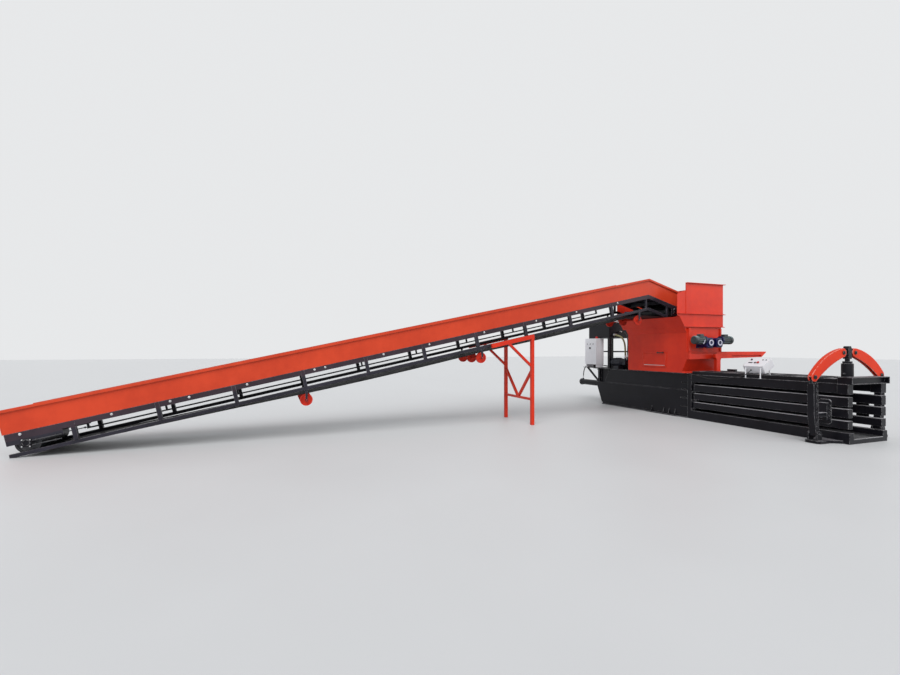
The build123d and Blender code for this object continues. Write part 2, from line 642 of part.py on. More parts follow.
def cabinet_door():
    x0, x1 = CABINET_X
    z0, z1 = CABINET_Z
    door = fillet(block(x0, x1, CABINET_Y[0], -585.5, z0, z1).edges().filter_by(Axis.Y), 8)
    bosses = [round_y(-606, -599, x, 1800, 11) for x in (-3860, -3720, -3580)]
    lock = [round_y(-606, -599, x1 - 35, z, 10) for z in (1330, 1830)]
    barrels = [round_z(z, z + 60, x0, CABINET_Y[0], 8) for z in (1290, 1800)]
    return (door + bosses + lock + barrels) - round_y(-620, -580, *SWITCH_AT, 9)


SWITCH_AT = (-3725, 1680)


def main_switch():
    shaft = round_y(-612, -589, *SWITCH_AT, 8.9)
    disc = round_y(-614, -601, *SWITCH_AT, 26)
    grip = fillet(block(-3733, -3717, -640, -613, 1655, 1705).edges().filter_by(Axis.Y), 5)
    return shaft + disc + grip


def cabinet_beacon():
    base = round_z(CABINET_Z[1], CABINET_Z[1] + 15, -3505, -530, 42)
    lens = round_z(CABINET_Z[1] + 14, CABINET_Z[1] + 60, -3505, -530, 36)
    return base + fillet(lens.edges().group_by(Axis.Z)[-1], 26)


# Power pack

def oil_tank():
    x0, x1 = TANK_X
    tank = block(x0, x1, -TANK_HALF, TANK_HALF, *TANK_Z)
    tank = fillet(tank.edges().filter_by(Axis.Z), 25)
    lid = block(x0 + 60, x0 + 500, -300, 300, TANK_Z[1], TANK_Z[1] + 12)
    cap = round_z(TANK_Z[1], TANK_Z[1] + 70, x1 - 180, 200, 45)
    ports = [round_x(x1 - 5, -2988, PUMP_Y, 2060, 34), round_x(x1 - 5, -2988, -80, 2150, 24)]
    return tank + [lid, cap] + ports


def tank_stand():
    """Four legs and tie bars; the near rear leg stands behind the cabinet."""
    x0, x1 = TANK_X
    front = x1 - 80
    y_far = TANK_HALF - 80
    places = ((x0, PLATFORM_TOP, REAR_LEG_Y), (x0, PLATFORM_TOP, y_far), (front, DECK_TOP, -TANK_HALF),
              (front, DECK_TOP, y_far))
    solids = []
    for x, foot, y in places:
        solids.append(block(x, x + 80, y, y + 80, foot, TANK_Z[0]))
        solids.append(block(x - 15, x + 95, y - 10, y + 90, foot, foot + 8))
    solids.append(block(x0 + 70, front + 10, y_far + 20, y_far + 60, 1550, 1590))
    solids.append(block(x0 + 20, x0 + 60, REAR_LEG_Y + 70, y_far + 10, 1550, 1590))
    solids.append(block(front + 20, front + 60, -TANK_HALF + 70, y_far + 10, 1550, 1590))
    return join(solids)


def pump_motor():
    """Foot motor, bell housing and gear pump in line."""
    body = round_x(-3000, -2640, PUMP_Y, PUMP_Z, 118) + round_x(-3000, -2910, PUMP_Y, PUMP_Z, 128)
    fins = []
    for i in range(10):
        fin = block(-2900, -2660, PUMP_Y - 4, PUMP_Y + 4, PUMP_Z + 100, PUMP_Z + 134)
        turn = Pos(0, PUMP_Y, PUMP_Z) * Rot(36 * i, 0, 0) * Pos(0, -PUMP_Y, -PUMP_Z)
        fins.append(turn * fin)
    feet = block(-2890, -2670, PUMP_Y - 120, PUMP_Y + 120, DECK_TOP, 1150)
    bell = Pos(-2605, PUMP_Y, PUMP_Z) * Rot(0, 90, 0) * Cone(110, 75, 70)
    pump = block(-2571, -2450, PUMP_Y - 65, PUMP_Y + 65, PUMP_Z - 65, PUMP_Z + 65)
    port = round_z(PUMP_Z + 60, 1390, -2510, PUMP_Y, 32)
    return body + fins + [feet, bell, pump, port]


def valve_block():
    """Manifold with stacked valves and their solenoids."""
    base = block(-2740, -2560, -160, -30, DECK_TOP, 1250)
    stack = block(-2720, -2580, -150, -40, 1249, 1350)
    coils = [round_x(-2830, -2480, -95, z, 24) for z in (1285,)]
    port = round_z(1349, 1400, -2650, -100, 20)
    inlet = round_x(-2765, -2739, -100, 1150, 20)
    return base + [stack, port, inlet] + coils


def tube(route, diameter, name):
    """Round tube along straight runs joined by arcs as large as the runs allow."""
    points = [Vector(*p) for p in route]
    radii = []
    for before, at, after in zip(points, points[1:], points[2:]):
        turn = (at - before).get_angle(after - at)
        shorter = min((at - before).length, (after - at).length)
        radii.append(0.45 * shorter / math.tan(math.radians(turn / 2)))
    print(name, "radii", [round(r) for r in radii])
    path = FilletPolyline(*points, radius=radii)
    start = Plane(origin=points[0], z_dir=points[1] - points[0])
    solid = sweep(start * Circle(diameter / 2), path=path)
    print(name, "length", round(path.length), "volume ratio",
          round(solid.volume / (math.pi * diameter ** 2 / 4 * path.length), 4))
    return solid


SUCTION_ROUTE = [(-2988, -300, 2060), (-2760, -300, 2060), (-2560, -300, 1900), (-2510, -300, 1640),
                 (-2510, -300, 1390)]
RETURN_ROUTE = [(-2988, -80, 2150), (-2790, -80, 2150), (-2660, -85, 1985), (-2640, -95, 1780),
                (-2650, -100, 1585), (-2650, -100, 1400)]
CYLINDER_ROUTE = [(-4880, 0, 670), (-4880, 0, 850), (-4800, 0, 1040), (-4610, -5, 1150),
                  (-4370, -12, 1140), (-4100, -20, 1160), (-3780, -35, 1128), (-3450, -60, 1112),
                  (-3080, -100, 1150), (-2765, -100, 1150)]


# Conveyor

def lift(y, h):
    """Height of a point of the conveyor's side at y, h above the underside line."""
    z = SLOPE * (min(y, PEAK_Y) - FOOT_Y) + h
    if y > PEAK_Y:
        z -= NOSE * (y - PEAK_Y)
    return z


def band(y0, y1, h0, h1, x0, x1):
    """Strip of the conveyor's side between two heights, square-cut at its lower end."""
    lean = SLOPE / (1 + SLOPE ** 2)
    points = [(y0 - h0 * lean, lift(y0 - h0 * lean, h0))]
    if y1 > PEAK_Y:
        points.append((PEAK_Y, lift(PEAK_Y, h0)))
        points.append((y1, lift(y1, h0)))
        points.append((y1, lift(y1, h1)))
        points.append((PEAK_Y, lift(PEAK_Y, h1)))
    else:
        points.append((y1 - h0 * lean, lift(y1 - h0 * lean, h0)))
        points.append((y1 - h1 * lean, lift(y1 - h1 * lean, h1)))
    points.append((y0 - h1 * lean, lift(y0 - h1 * lean, h1)))
    return prism_yz(points, x0, x1)


def near_x(inset):
    return CONV_MID_X + CONV_HALF - inset


def conveyor_wall():
    """Side sheet with an outward lip along the top and a foot flange."""
    face = near_x(0)
    wall = band(-13560, -290, *WALL_H, face - 6, face - 1)
    lip = band(-13560, -290, LIP_H + 14, WALL_H[1], face - 2, face + 28)
    foot = band(-13560, -290, WALL_H[0], WALL_H[0] + 6, face - 50, face - 1)
    return wall + lip + foot


def post_places():
    return [POST_FIRST + POST_PITCH * k for k in range(POSTS)]


def disc_hanger(y):
    """Plate that hangs an idler axle below the lower tube."""
    axle_z = lift(y, DISC_H)
    z_top = lift(y, TUBE_H[0] + 20)
    plate = prism_yz([(y - 26, z_top), (y + 26, z_top), (y + 17, axle_z), (y - 17, axle_z)],
                     near_x(16), near_x(6))
    plate += round_x(near_x(16), near_x(6), y, axle_z, 26)
    return plate


def conveyor_frame():
    """Near-side truss: lower tube, upper rail, posts, bearing plates and idler hangers."""
    outer = near_x(0)
    inner = near_x(60)
    solids = [band(-13540, -720, *TUBE_H, inner, outer) & block(-3000, 0, -14000, 0, 0, 4000)]
    rail = band(-13540, -290, *RAIL_H, inner, outer)
    solids.append(rail - band(-12700, -800, RAIL_H[0] + 8, RAIL_H[1] - 8, inner - 5, outer - 12))
    for y in post_places():
        solids.append(band(y - 30, y + 30, TUBE_H[0] + 5, RAIL_H[1] - 2, inner, outer))
        solids.append(band(y - 30, y + 30, TUBE_H[1] + 2, RAIL_H[1] - 2, outer - 1, outer + 8))
    for y in (-1360, -705):
        solids.append(block(inner + 8, outer - 8, y - 22, y + 22, lift(y, 10), lift(y, RAIL_H[0] + 20)))
    solids.append(band(-13540, -12840, 190, RAIL_H[1], outer - 12, outer))
    solids.append(round_x(outer - 12, outer + 4, *TAIL, 62))
    head_y, head_z = head_centre()
    plate = [(head_y - 110, head_z - 100), (head_y + 180, head_z - 130), (head_y + 180, lift(-292, 300)),
             (head_y - 110, lift(head_y - 110, 300))]
    solids.append(prism_yz(plate, outer - 12, outer))
    solids.append(round_x(outer - 12, outer + 6, head_y, head_z, 60))
    for y in DISC_Y:
        solids.append(disc_hanger(y))
    body = join(solids)
    body -= round_x(outer - 70, outer + 20, *TAIL, 25 + RUN)
    body -= round_x(outer - 70, outer + 20, head_y, head_z, 25 + RUN)
    for y in DISC_Y:
        body -= round_x(outer - 70, outer + 20, y, lift(y, DISC_H), 12 + RUN)
    return body


def conveyor_bed():
    """Slider bed under the belt, its cross members and the centre stringer."""
    side = CONV_HALF - 8
    solids = [band(-12700, -640, BED_H - 7, BED_H - 1, CONV_MID_X - side, CONV_MID_X + side)]
    for y in post_places():
        solids.append(band(y - 25, y + 25, 290, BED_H - 5, CONV_MID_X - 525, CONV_MID_X + 525))
        solids.append(band(y - 15, y + 15, 150, 295, CONV_MID_X - 15, CONV_MID_X + 15))
    solids.append(band(POST_FIRST - 20, POST_FIRST + POST_PITCH * 9 + 20, 150, 176,
                       CONV_MID_X - 13, CONV_MID_X + 13))
    solids.append(block(CONV_MID_X - 525, CONV_MID_X + 525, -900, -850, lift(-875, 290), lift(-875, 385)))
    solids.append(block(CONV_MID_X - 525, CONV_MID_X + 525, -1385, -1335, lift(-1360, 290), lift(-1360, 386)))
    return join(solids)


def head_centre():
    """Centre of the head drum, under the nose line by its radius."""
    angle = math.atan(NOSE)
    return (HEAD_ON_Y - math.sin(angle) * HEAD_R, lift(HEAD_ON_Y, BED_H + 1) - math.cos(angle) * HEAD_R)


def belt_loop(d):
    """Closed outline of the belt, d outside its inner face."""
    up = math.atan(SLOPE)
    down = math.atan(NOSE)
    ty, tz = TAIL
    tr = TAIL_R + 0.4 + d
    hy, hz = head_centre()
    hr = HEAD_R + 0.4 + d
    run_h = BED_H + 1 + d
    back_h = DISC_H + (DISC_R + 0.6) / math.cos(up) + BELT_T - d
    tail_top = (ty - tr * math.sin(up), tz + tr * math.cos(up))
    tail_low = (ty + tr * 0.17, tz - tr * 0.9854)
    head_top = (hy + hr * math.sin(down), hz + hr * math.cos(down))
    head_low = (hy - hr * 0.02, hz - hr * 0.9998)
    idlers = [(y, lift(y, back_h)) for y in DISC_Y]
    low, middle, high = idlers

    def at(p):
        return Vector(CONV_MID_X - BELT_HALF, *p)

    def sag(a, b, depth):
        return Edge.make_three_point_arc(at(a), at(((a[0] + b[0]) / 2, (a[1] + b[1]) / 2 - depth)), at(b))

    bed_start = (-12800, lift(-12800, run_h))
    peak = (PEAK_Y, lift(PEAK_Y, run_h))
    edges = [Edge.make_line(at(tail_top), at(bed_start)), Edge.make_line(at(bed_start), at(peak)),
             Edge.make_line(at(peak), at(head_top)),
             Edge.make_three_point_arc(at(head_top), at((hy + hr, hz)), at(head_low)),
             Edge.make_line(at(head_low), at(high)), sag(high, middle, 24), sag(middle, low, 20),
             sag(low, tail_low, -12), Edge.make_three_point_arc(at(tail_low), at((ty - tr, tz)), at(tail_top))]
    return Wire(edges)


def belt():
    face = Face(belt_loop(BELT_T), [belt_loop(0)])
    return extrude(face, 2 * BELT_HALF, dir=(1, 0, 0))


def drum(y, z, r, drive):
    """Rubber-faced drum on a shaft that stands out by drive on the far side."""
    core = round_x(CONV_MID_X - 515, CONV_MID_X + 515, y, z, r)
    dish = round_x(CONV_MID_X + 500, CONV_MID_X + 520, y, z, r - 18)
    core -= dish
    core -= across_belt(dish)
    return core + round_x(CONV_MID_X - CONV_HALF - drive, CONV_MID_X + CONV_HALF + 10, y, z, 25)


def drive_gearmotor():
    """Shaft-mounted gear housing and motor on the hidden end of the head drum."""
    y, z = head_centre()
    side = CONV_MID_X - CONV_HALF
    case = fillet(block(side - 135, side - 6.5, y - 95, y + 95, z - 85, z + 85).edges().filter_by(Axis.X), 30)
    motor = round_y(y - 400, y - 90, side - 72, z, 62) + round_y(y - 440, y - 399, side - 72, z, 68)
    fins = []
    for i in range(10):
        fins.append(Pos(side - 72, y - 260, z) * Rot(0, 36 * i, 0) * Pos(0, 0, 64) * Box(5, 260, 14))
    box = block(side - 150, side - 120, y - 330, y - 230, z - 40, z + 40)
    body = case + motor + fins + box
    return body - round_x(side - 200, side, y, z, 25 + RUN)


def disc_idler(y):
    """Axle with three discs that carry the belt's return run."""
    z = lift(y, DISC_H)
    solids = [round_x(CONV_MID_X - CONV_HALF, CONV_MID_X + CONV_HALF, y, z, 12)]
    for x in (CONV_MID_X - 500, CONV_MID_X, CONV_MID_X + 500):
        wheel = round_x(x - 20, x + 20, y, z, DISC_R)
        wheel -= round_x(x + 8, x + 30, y, z, DISC_R - 24)
        wheel -= round_x(x - 30, x - 8, y, z, DISC_R - 24)
        solids.append(wheel + round_x(x - 45, x + 45, y, z, 32))
    return join(solids)


def beam(start, end, size):
    """Square tube between two points."""
    a, b = Vector(*start), Vector(*end)
    place = Plane(origin=(a + b) / 2, z_dir=b - a, x_dir=(b - a).cross(Vector(1, 0.001, 0.002)))
    return place * Box(size, size, (b - a).length)


def conveyor_stand():
    """Trestle under the upper half: two legs, cradle rails and braces."""
    outer = near_x(0)
    rail = band(-5520, -4505, -30, 60, outer, outer + 60)
    leg = block(outer, outer + 68, STAND_Y - 35, STAND_Y + 35, 0, lift(STAND_Y, -10))
    knee = beam((outer + 34, -5120, 1765), (outer + 34, STAND_Y - 20, 1275), 50)
    half = [rail, leg, knee]
    vee = beam((outer + 20, STAND_Y, 1190), (CONV_MID_X, STAND_Y, 555), 50)
    half.append(vee)
    solids = []
    for piece in half:
        solids += [piece, across_belt(piece)]
    solids.append(block(CONV_MID_X - CONV_HALF - 5, CONV_MID_X + CONV_HALF + 5, STAND_Y - 25, STAND_Y + 25,
                        530, 580))
    return join(solids)


CABLE_ROUTE = [(1415, -470.8, 1197.9), (1415, -564.5, 1140), (1330, -572, 1086), (1200, -562, 1058),
               (1040, -550, 1032), (860, -542, 998), (670, -540, 974), (480, -540, 974),
               (300, -540, 1002), (140, -541, 1038), (20, -543, 1056), (-100, -545, 1060)]


def build():
    far_gate = side_gate()
    far_lever = squeeze_lever()
    far_arm = squeeze_arm()
    far_panel = side_panel()
    far_box = gearbox()
    far_motor = rotor_motor()
    near_wall = conveyor_wall()
    near_frame = conveyor_frame()
    pieces = {
        "base_frame": base_frame(),
        "channel_floor": channel_floor(),
        "press_chamber": press_chamber(),
        "side_panel_near": across(far_panel),
        "side_panel_far": far_panel,
        "rear_platform": rear_platform(),
        "main_cylinder": main_cylinder(),
        "ram_rod": ram_rod(),
        "ram": ram(),
        "feed_chamber": feed_chamber(),
        "inspection_hatch": inspection_hatch(),
        "hatch_latch": hatch_latch(),
        "gate_guides": gate_guides(),
        "slide_gate": slide_gate(),
        "hopper_hood": hopper_hood(),
        "rotor_near": perforator_rotor(-1),
        "rotor_far": perforator_rotor(1),
        "gearbox_near": across(far_box),
        "gearbox_far": far_box,
        "rotor_motor_near": across(far_motor),
        "rotor_motor_far": far_motor,
        "channel_top": channel_top(),
        "side_gate_near": across(far_gate),
        "side_gate_far": far_gate,
        "squeeze_lever_near": across(far_lever),
        "squeeze_lever_far": far_lever,
        "squeeze_arm_near": across(far_arm),
        "squeeze_arm_far": far_arm,
        "squeeze_fork": squeeze_fork(),
        "squeeze_cylinder": squeeze_cylinder(),
        "control_desk": control_desk(),
        "stop_button": stop_button(),
        "start_button": start_button(),
        "mode_switch": mode_switch(),
        "desk_gland": desk_gland(),
        "desk_cable": tube(CABLE_ROUTE, CABLE_D, "desk cable"),
        "cabinet_body": cabinet_body(),
        "cabinet_door": cabinet_door(),
        "main_switch": main_switch(),
        "cabinet_beacon": cabinet_beacon(),
        "oil_tank": oil_tank(),
        "tank_stand": tank_stand(),
        "pump_motor": pump_motor(),
        "valve_block": valve_block(),
        "suction_hose": tube(SUCTION_ROUTE, HOSE_D, "suction hose"),
        "return_hose": tube(RETURN_ROUTE, RETURN_D, "return hose"),
        "cylinder_hose": tube(CYLINDER_ROUTE, CYLINDER_HOSE_D, "cylinder hose"),
        "conveyor_wall_near": near_wall,
        "conveyor_wall_far": across_belt(near_wall),
        "conveyor_frame_near": near_frame,
        "conveyor_frame_far": across_belt(near_frame),
        "conveyor_bed": conveyor_bed(),
        "conveyor_belt": belt(),
        "head_drum": drum(*head_centre(), HEAD_R, 120),
        "tail_drum": drum(*TAIL, TAIL_R, 10),
        "drive_gearmotor": drive_gearmotor(),
        "disc_idler_low": disc_idler(DISC_Y[0]),
        "disc_idler_middle": disc_idler(DISC_Y[1]),
        "disc_idler_high": disc_idler(DISC_Y[2]),
        "conveyor_stand": conveyor_stand(),
    }
    os.makedirs("parts", exist_ok=True)
    for name, shape in pieces.items():
        export_step(shape, f"parts/{name}.step")


build()
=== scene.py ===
import math
import bpy
from mathutils import Matrix, Vector


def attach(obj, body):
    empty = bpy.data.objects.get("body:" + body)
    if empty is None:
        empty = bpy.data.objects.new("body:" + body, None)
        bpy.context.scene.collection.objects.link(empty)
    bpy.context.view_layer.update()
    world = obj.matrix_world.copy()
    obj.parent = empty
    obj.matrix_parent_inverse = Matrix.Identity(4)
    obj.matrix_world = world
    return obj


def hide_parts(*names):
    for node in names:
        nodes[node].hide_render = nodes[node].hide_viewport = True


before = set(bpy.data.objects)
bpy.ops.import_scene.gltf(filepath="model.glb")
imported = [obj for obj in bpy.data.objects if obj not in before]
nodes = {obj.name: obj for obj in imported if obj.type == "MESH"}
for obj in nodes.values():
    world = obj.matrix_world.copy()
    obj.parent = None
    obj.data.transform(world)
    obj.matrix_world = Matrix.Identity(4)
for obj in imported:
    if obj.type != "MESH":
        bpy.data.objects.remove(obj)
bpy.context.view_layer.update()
scene = bpy.context.scene
scene.view_settings.view_transform = "Standard"

# The conveyor climbs at this slope, and its underside starts from the floor at this Y
SLOPE = math.tan(math.radians(12.0))
FOOT_Y = -13.5


# Camera, at the photograph's place and angle, with its focal length and horizon in pixels

PHOTO_WIDTH = 900
FOCAL_LENGTH = 467
HORIZON_SHIFT = 11.5
SENSOR = 36

camera_data = bpy.data.cameras.new("camera")
camera = bpy.data.objects.new("camera", camera_data)
scene.collection.objects.link(camera)
scene.camera = camera
camera.location = (8.368, -9.785, 1.65)
camera.rotation_euler = Vector((-0.9367, 0.3502, 0)).to_track_quat("-Z", "Y").to_euler()
camera_data.sensor_width = SENSOR
camera_data.lens = FOCAL_LENGTH / PHOTO_WIDTH * SENSOR
camera_data.shift_y = HORIZON_SHIFT / PHOTO_WIDTH
camera_data.clip_end = 200


# Cords, along the same route points as the solids, which are in millimetres

def cord_curve(name, points, diameter, node):
    """A smooth hose or cable that goes from one fitting to the next."""
    curve = bpy.data.curves.new(name, "CURVE")
    curve.dimensions = "3D"
    curve.bevel_depth = 1.0
    curve.bevel_resolution = 4
    curve.use_fill_caps = True
    curve.resolution_u = 10
    line = curve.splines.new("NURBS")
    line.points.add(len(points) - 1)
    for knot, p in zip(line.points, points):
        knot.co = (p[0] / 1000, p[1] / 1000, p[2] / 1000, 1)
        knot.radius = diameter / 2
    line.order_u = 3
    line.use_endpoint_u = True
    ob = bpy.data.objects.new(name, curve)
    scene.collection.objects.link(ob)
    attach(ob, "machine")
    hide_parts(node)
    return ob


cable = cord_curve(
    "desk_lead",
    [(1415, -470.8, 1197.9), (1415, -564.5, 1140), (1330, -572, 1086), (1200, -562, 1058),
     (1040, -550, 1032), (860, -542, 998), (670, -540, 974), (480, -540, 974),
     (300, -540, 1002), (140, -541, 1038), (20, -543, 1056), (-100, -545, 1060)],
    0.014, "desk_cable")
suction = cord_curve(
    "suction_line",
    [(-2988, -300, 2060), (-2760, -300, 2060), (-2560, -300, 1900), (-2510, -300, 1640),
     (-2510, -300, 1390)],
    0.05, "suction_hose")
returning = cord_curve(
    "return_line",
    [(-2988, -80, 2150), (-2790, -80, 2150), (-2660, -85, 1985), (-2640, -95, 1780),
     (-2650, -100, 1585), (-2650, -100, 1400)],
    0.032, "return_hose")
pressing = cord_curve(
    "cylinder_line",
    [(-4880, 0, 670), (-4880, 0, 850), (-4800, 0, 1040), (-4610, -5, 1150),
     (-4370, -12, 1140), (-4100, -20, 1160), (-3780, -35, 1128), (-3450, -60, 1112),
     (-3080, -100, 1150), (-2765, -100, 1150)],
    0.03, "cylinder_hose")


# Shader maths

class Val:
    """A socket that carries a number, with the usual arithmetic."""

    def __init__(self, mat, socket):
        self.mat = mat
        self.socket = socket

    def do(self, operation, a, b, clamp=False):
        made = self.mat.node("ShaderNodeMath", {"operation": operation, "use_clamp": clamp}, a, b)
        return Val(self.mat, made.outputs[0])

    def __add__(self, other):
        return self.do("ADD", self, other)

    def __radd__(self, other):
        return self.do("ADD", other, self)

    def __sub__(self, other):
        return self.do("SUBTRACT", self, other)

    def __rsub__(self, other):
        return self.do("SUBTRACT", other, self)

    def __mul__(self, other):
        return self.do("MULTIPLY", self, other)

    def __rmul__(self, other):
        return self.do("MULTIPLY", other, self)

    def clip(self):
        return self.do("ADD", self, 0.0, True)

    def step(self, low, high):
        """Smooth change from 0 at low to 1 at high."""
        made = self.mat.node("ShaderNodeMapRange", {"interpolation_type": "SMOOTHSTEP"},
                             self, low, high, 0.0, 1.0)
        return Val(self.mat, made.outputs[0])


class Finish:
    """A material with its Principled shader and the helpers that feed it."""

    def __init__(self, name):
        self.material = bpy.data.materials.new(name)
        self.material.use_nodes = True
        self.tree = self.material.node_tree
        self.shader = self.tree.nodes["Principled BSDF"]
        self.place = self.node("ShaderNodeTexCoord", {}).outputs["Object"]
        self.normal = self.node("ShaderNodeNewGeometry", {}).outputs["Normal"]

    def node(self, kind, settings, *inputs, **named):
        """A new node with its settings made first, then its sockets in order or by name."""
        made = self.tree.nodes.new(kind)
        for key, value in settings.items():
            setattr(made, key, value)
        pairs = list(zip(made.inputs, inputs)) + [(made.inputs[k], v) for k, v in named.items()]
        for socket, value in pairs:
            self.feed(socket, value)
        return made

    def feed(self, socket, value):
        if isinstance(value, Val):
            self.tree.links.new(value.socket, socket)
        elif isinstance(value, bpy.types.NodeSocket):
            self.tree.links.new(value, socket)
        elif isinstance(value, tuple) and socket.type == "RGBA":
            socket.default_value = (*value, 1)
        else:
            socket.default_value = value

    def noise(self, scale, detail=3.0, stretch=None, rough=0.55):
        at = self.place
        if stretch:
            at = self.node("ShaderNodeMapping", {}, Vector=at, Scale=stretch).outputs[0]
        made = self.node("ShaderNodeTexNoise", {}, Vector=at, Scale=scale, Detail=detail,
                         Roughness=rough)
        return Val(self, made.outputs["Fac"])

    def axis(self, vector, letter):
        made = self.node("ShaderNodeSeparateXYZ", {}, vector)
        return Val(self, made.outputs[letter])

    def mix(self, amount, a, b):
        made = self.node("ShaderNodeMix", {"data_type": "RGBA"})
        self.feed(made.inputs[0], amount)
        self.feed(made.inputs[6], a)
        self.feed(made.inputs[7], b)
        return made.outputs[2]

    def softened(self, radius):
        """The normal as if sharp edges were rounded off."""
        return self.node("ShaderNodeBevel", {"samples": 6}, Radius=radius).outputs[0]

    def near_edge(self, soft):
        """How far the softened normal leans away from the true one."""
        dot = self.node("ShaderNodeVectorMath", {"operation": "DOT_PRODUCT"}, soft, self.normal)
        return 1 - Val(self, dot.outputs["Value"])

    def bump(self, height, strength, distance, normal):
        made = self.node("ShaderNodeBump", {}, Strength=strength, Distance=distance,
                         Height=height, Normal=normal)
        return made.outputs[0]

    def surface(self, **sockets):
        for key, value in sockets.items():
            self.feed(self.shader.inputs[key.replace("_", " ")], value)
        return self.material


def painted(name, light, dark, rough, dust_and_top_sheen, dust_and_sheen_colour, wear_and_highlight_colour, edge_wear_and_highlight, edge,
            gleam=0.3, polish=0.0, second=None):
    """Sprayed machine paint: uneven tint, run-off streaks, dusting and a painted sheen on top
    faces, edges paler from wear and a painted highlight.

    polish makes upward faces smoother, and second is a mask and another tint under it.
    """
    m = Finish(name)
    cloud = m.noise(1.1, 4.0)
    mottle = m.noise(7.0, 5.0)
    streak = m.noise(5.0, 4.0, (1.0, 1.0, 0.12))
    grain = m.noise(160.0, 2.0)
    edge_patch_noise = m.noise(38.0, 3.0)
    tone = (cloud * 0.6 + mottle * 0.25 + streak * 0.15).step(0.36, 0.66)
    colour = m.mix(tone, dark, light)
    if second:
        where, other = second
        colour = m.mix(where(m), colour, m.mix(tone, tuple(v * 0.55 for v in other), other))
    up = m.axis(m.normal, "Z")
    # Upward faces lighten: partly a dusting, partly a painted sheen where top faces catch the
    # light at grazing angles.
    dust_and_top_sheen_mask = (up.step(0.35, 0.95) * (mottle * 0.7 + cloud * 0.6).step(0.35, 0.8) * dust_and_top_sheen).clip()
    colour = m.mix(dust_and_top_sheen_mask, colour, dust_and_sheen_colour)
    soft = m.softened(edge)
    # Edges take a paler colour in patches: partly wear through the paint, partly a painted
    # highlight along lit edges.
    wear_and_highlight_patches = (edge_patch_noise + mottle * 0.5).step(0.62, 0.86)
    worn_and_lit_edges = (m.near_edge(soft).step(0.02, 0.16) * wear_and_highlight_patches * edge_wear_and_highlight).clip()
    colour = m.mix(worn_and_lit_edges, colour, wear_and_highlight_colour)
    gloss = rough + (mottle - 0.5) * 0.16 + dust_and_top_sheen_mask * 0.3 + worn_and_lit_edges * 0.1 + (streak - 0.5) * 0.1
    gloss = (gloss - up.step(0.8, 0.98) * polish).clip()
    height = grain * 0.25 + mottle * 0.75
    return m.surface(Base_Color=colour, Roughness=gloss, Specular_IOR_Level=gleam,
                     Normal=m.bump(height, 0.2, 0.001, soft))


def lower_truss(m):
    """Everything of the conveyor's truss that hangs below its upper rail."""
    height = m.axis(m.place, "Z") - (m.axis(m.place, "Y") - FOOT_Y) * SLOPE
    return 1 - height.step(0.255, 0.265)


def worn_metal(name, light, dark, rough, along, metallic=1.0):
    """Steel without paint, polished bright by use, with scratches along its travel and faint
    stains.
    """
    m = Finish(name)
    scratch = m.noise(22.0, 5.0, along)
    cloud = m.noise(2.4, 4.0)
    spot = m.noise(11.0, 5.0)
    tone = (scratch * 0.45 + cloud * 0.35 + spot * 0.2).step(0.34, 0.64)
    colour = m.mix(tone, dark, light)
    stain = (cloud * 0.5 + spot * 0.5).step(0.55, 0.72) * 0.35
    colour = m.mix(stain, colour, (0.16, 0.12, 0.09))
    gloss = (rough + (scratch - 0.5) * 0.25 + stain * 0.4).clip()
    return m.surface(Base_Color=colour, Roughness=gloss, Metallic=(metallic - stain * 0.5).clip(),
                     Normal=m.bump(scratch, 0.25, 0.0008, m.softened(0.004)))


def moulded(name, light, dark, rough, grain=260.0, edge=0.002, strength=0.2, gleam=0.5):
    """Moulded plastic or rubber with a fine surface grain."""
    m = Finish(name)
    cloud = m.noise(3.0, 4.0)
    fine = m.noise(grain, 2.0)
    dust_and_sheen_colour = m.noise(9.0, 4.0)
    colour = m.mix((cloud * 0.6 + dust_and_sheen_colour * 0.4).step(0.36, 0.64), dark, light)
    gloss = (rough + (cloud - 0.5) * 0.2 + (dust_and_sheen_colour - 0.5) * 0.1).clip()
    return m.surface(Base_Color=colour, Roughness=gloss, Specular_IOR_Level=gleam,
                     Normal=m.bump(fine, strength, 0.0006, m.softened(edge)))


# Paints

CHARCOAL = ((0.0090, 0.0086, 0.0122), (0.0048, 0.0046, 0.0068))

orange_paint = painted(
    "orange_paint", (0.68, 0.036, 0.012), (0.56, 0.025, 0.009), 0.36,
    dust_and_top_sheen=0.10, dust_and_sheen_colour=(0.60, 0.17, 0.11), wear_and_highlight_colour=(0.76, 0.13, 0.07), edge_wear_and_highlight=0.55, edge=0.010,
    gleam=0.2)
conveyor_orange = painted(
    "conveyor_orange_paint", (0.61, 0.058, 0.020), (0.51, 0.045, 0.016), 0.36,
    dust_and_top_sheen=0.10, dust_and_sheen_colour=(0.60, 0.19, 0.12), wear_and_highlight_colour=(0.74, 0.17, 0.09), edge_wear_and_highlight=0.55, edge=0.010,
    gleam=0.2)
# Its pale pink edge colour is partly chipping and partly a painted highlight along the arms' lit
# rims.
deep_orange = painted(
    "lever_orange_paint", (0.68, 0.046, 0.015), (0.60, 0.034, 0.012), 0.42,
    dust_and_top_sheen=0.08, dust_and_sheen_colour=(0.60, 0.17, 0.11), wear_and_highlight_colour=(0.95, 0.50, 0.43), edge_wear_and_highlight=1.0, edge=0.020,
    gleam=0.08)
# Its pale grey edges are partly wear through the paint and partly a painted highlight on lit
# edges, such as the side panels' lower edges.
dark_paint = painted(
    "charcoal_paint", *CHARCOAL, 0.34,
    dust_and_top_sheen=0.10, dust_and_sheen_colour=(0.040, 0.038, 0.044), wear_and_highlight_colour=(0.30, 0.295, 0.305), edge_wear_and_highlight=0.85, edge=0.014,
    gleam=0.18, polish=0.18)
